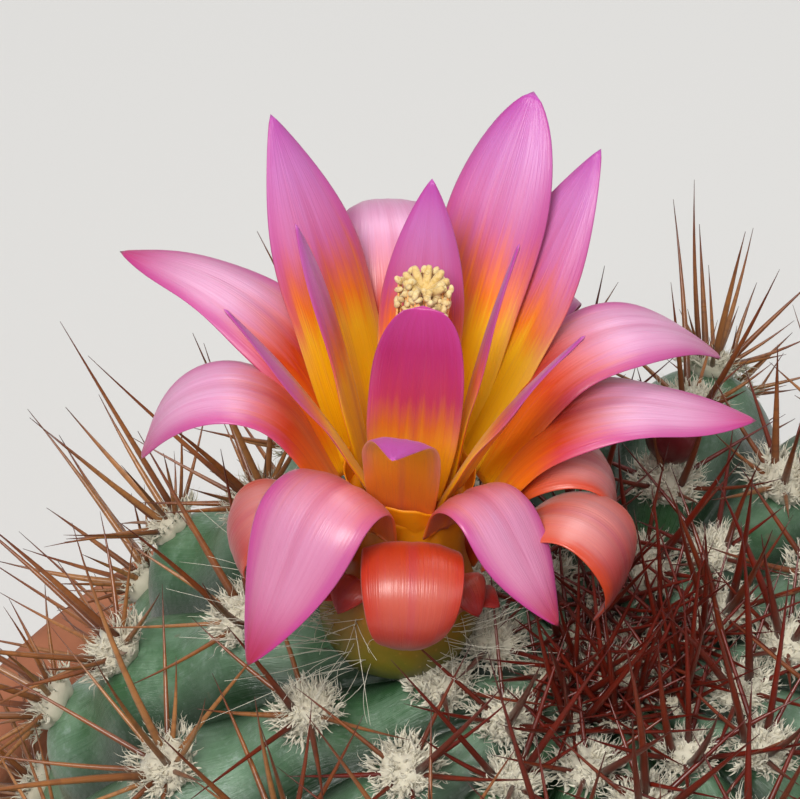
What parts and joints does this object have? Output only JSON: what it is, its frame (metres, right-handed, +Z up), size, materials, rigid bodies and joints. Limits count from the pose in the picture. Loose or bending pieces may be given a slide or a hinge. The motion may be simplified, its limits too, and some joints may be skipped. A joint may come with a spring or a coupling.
{
  "type": "potted round cactus",
  "caption": "Round ribbed cactus in a plain tapered pot, with woolly spined areoles on its ribs, an open pink and orange flower with recurved tepals at the crown, and a closed bud.",
  "frame": {"origin": "centre of the pot's flat underside", "axes": "+Z up along the pot's axis; the front of the plant faces -Y, and the flower stands to the left of the crown seen from there"},
  "size_m": [0.128, 0.128, 0.1776],
  "materials": {
    "terracotta": "matte",
    "potting_soil": "matte",
    "stem_skin": "satin",
    "wool": "matte",
    "spined_wool": "matte",
    "tube_skin": "satin",
    "tepal_skin": "satin",
    "pollen": "matte",
    "filament": "matte",
    "bud_skin": "satin"
  },
  "bodies": {
    "root": {"areole_rib01_row41": "spined_wool", "areole_rib01_row64": "spined_wool", "areole_rib02_row34": "spined_wool", "areole_rib03_crown": "spined_wool", "areole_rib03_row41": "spined_wool", "areole_rib03_row64": "spined_wool", "areole_rib04_row34": "spined_wool", "areole_rib05_crown": "spined_wool", "areole_rib05_row41": "spined_wool", "areole_rib05_row64": "spined_wool", "areole_rib06_row34": "spined_wool", "areole_rib07_crown": "spined_wool", "areole_rib07_row41": "spined_wool", "areole_rib07_row64": "spined_wool", "areole_rib08_row34": "spined_wool", "areole_rib09_crown": "spined_wool", "areole_rib09_row41": "spined_wool", "areole_rib09_row64": "spined_wool", "areole_rib10_row34": "spined_wool", "areole_rib11_crown": "spined_wool", "areole_rib11_row41": "spined_wool", "areole_rib11_row64": "spined_wool", "areole_rib12_row34": "spined_wool", "areole_rib13_row41": "spined_wool", "areole_rib13_row64": "spined_wool", "areole_rib14_row34": "spined_wool", "areole_rib15_crown": "spined_wool", "areole_rib15_row41": "spined_wool", "areole_rib15_row64": "spined_wool", "areole_rib16_row34": "spined_wool", "bud": "bud_skin", "cactus_stem": "stem_skin", "crown_wool": "wool", "flower_tube": "tube_skin", "pot": "terracotta", "soil": "potting_soil", "stamens": "filament", "style": "pollen", "tepal_back_arched": "tepal_skin", "tepal_back_left": "tepal_skin", "tepal_back_right": "tepal_skin", "tepal_front_curled": "tepal_skin", "tepal_front_left": "tepal_skin", "tepal_front_right": "tepal_skin", "tepal_inner_back": "tepal_skin", "tepal_inner_front": "tepal_skin", "tepal_inner_left": "tepal_skin", "tepal_inner_low_left": "tepal_skin", "tepal_inner_low_right": "tepal_skin", "tepal_inner_right": "tepal_skin", "tepal_inner_scale": "tepal_skin", "tepal_left_arched": "tepal_skin", "tepal_left_curled": "tepal_skin", "tepal_left_high": "tepal_skin", "tepal_right_arched": "tepal_skin", "tepal_right_behind": "tepal_skin", "tepal_right_curled": "tepal_skin", "tepal_right_curled_behind": "tepal_skin", "tepal_right_high": "tepal_skin", "tepal_right_level": "tepal_skin"}
  },
  "joints": []
}
